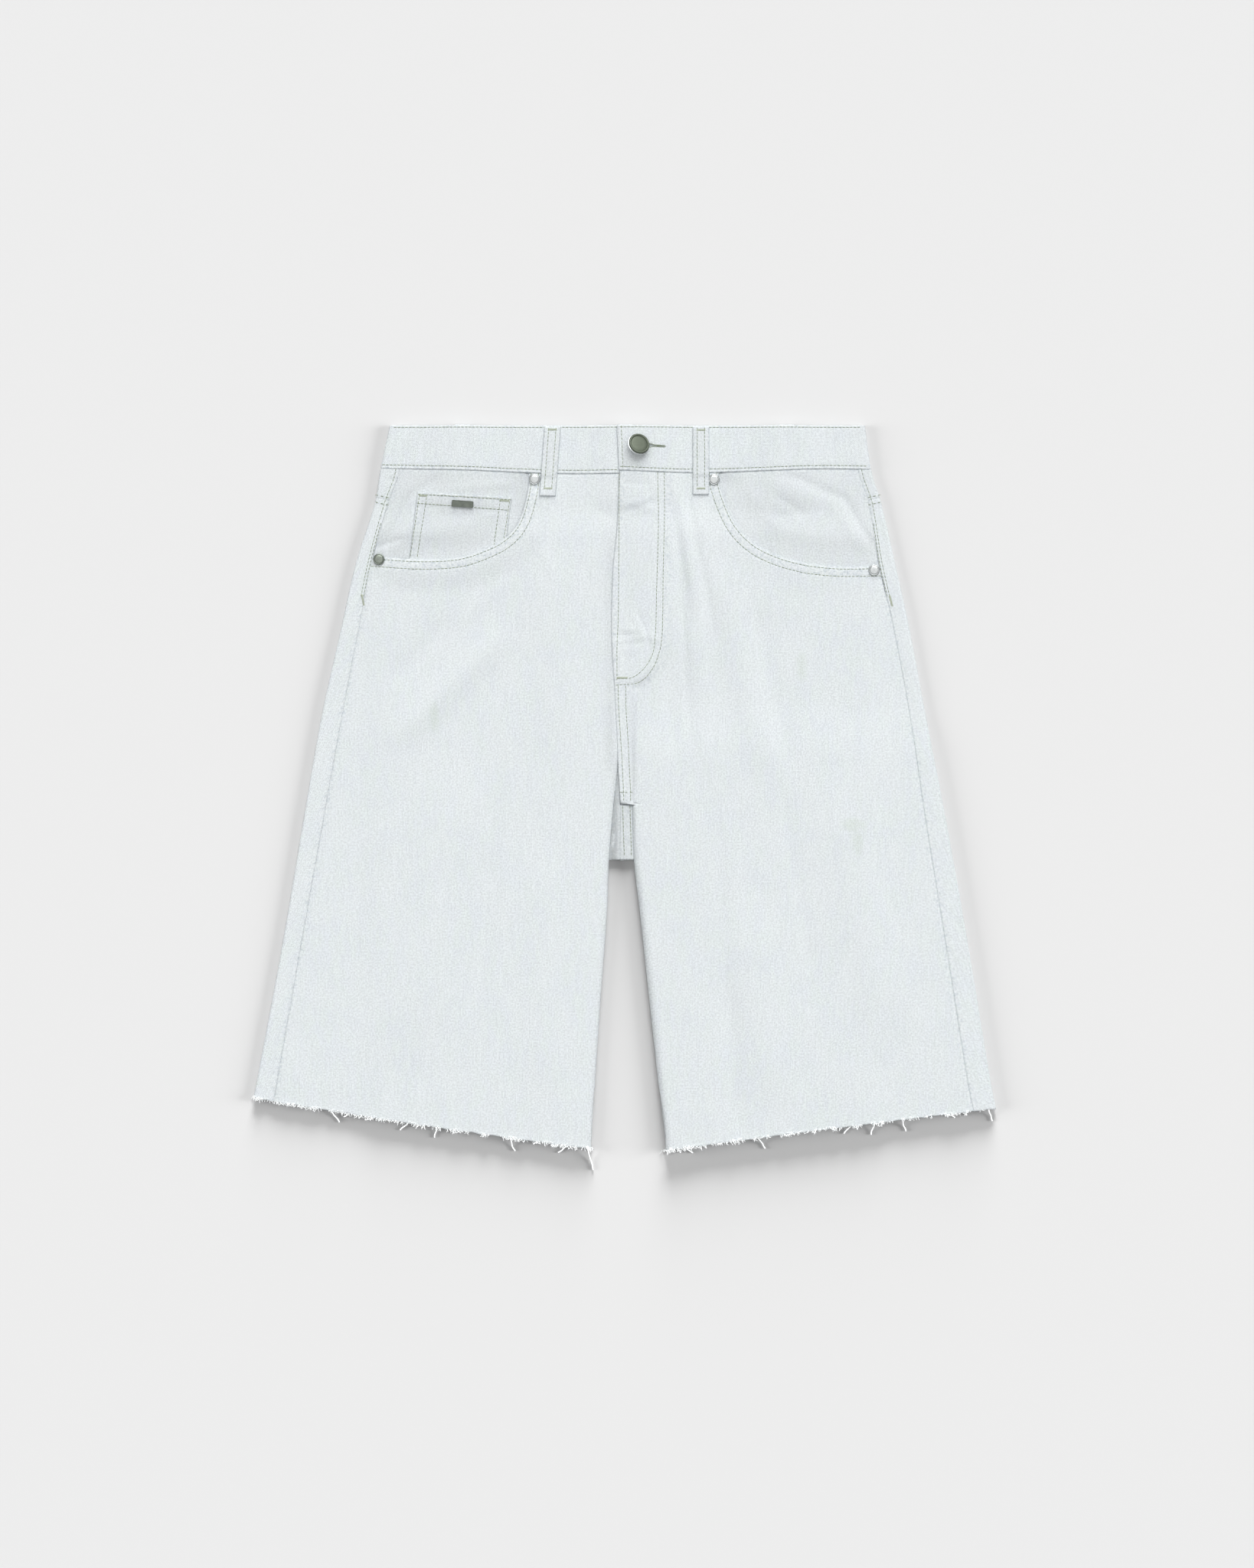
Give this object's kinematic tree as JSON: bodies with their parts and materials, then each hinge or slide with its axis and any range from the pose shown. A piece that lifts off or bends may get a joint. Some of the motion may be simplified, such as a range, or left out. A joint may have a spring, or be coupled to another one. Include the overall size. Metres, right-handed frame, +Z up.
{
  "type": "denim shorts",
  "caption": "Baggy pale washed denim shorts laid flat on their back, with scoop front pockets, a coin pocket, belt loops, a shank button, pocket rivets and raw frayed hems.",
  "frame": {"origin": "middle of the bounding box in plan, on the surface that the shorts lie on", "axes": "+Z up out of the front of the shorts, +Y towards the waist, +X towards the wearer's left side"},
  "size_m": [0.64, 0.6436, 0.0214],
  "materials": {
    "denim": "bleached blue-white cotton twill, soft and matt",
    "hem_threads": "frayed white cotton yarn",
    "topstitch": "sage green sewing thread",
    "steel": "polished nickel-plated steel",
    "gunmetal": "dark brushed metal plate"
  },
  "bodies": {
    "root": {"front_right": "denim", "front_left": "denim", "back_right": "denim", "back_left": "denim", "yoke_right": "denim", "yoke_left": "denim", "facing_right": "denim", "facing_left": "denim", "back_pocket_right": "denim", "back_pocket_left": "denim", "fringe_front_right": "hem_threads", "fringe_front_left": "hem_threads", "fringe_back_right": "hem_threads", "fringe_back_left": "hem_threads", "waistband": "denim", "coin_pocket": "denim", "coin_plate": "gunmetal", "loop_front_right": "denim", "loop_front_left": "denim", "loop_back_right": "denim", "loop_back_centre": "denim", "loop_back_left": "denim", "button": "steel", "rivet_right_side": "steel", "rivet_right_waist": "steel", "rivet_left_waist": "steel", "rivet_left_side": "steel"}
  },
  "joints": []
}
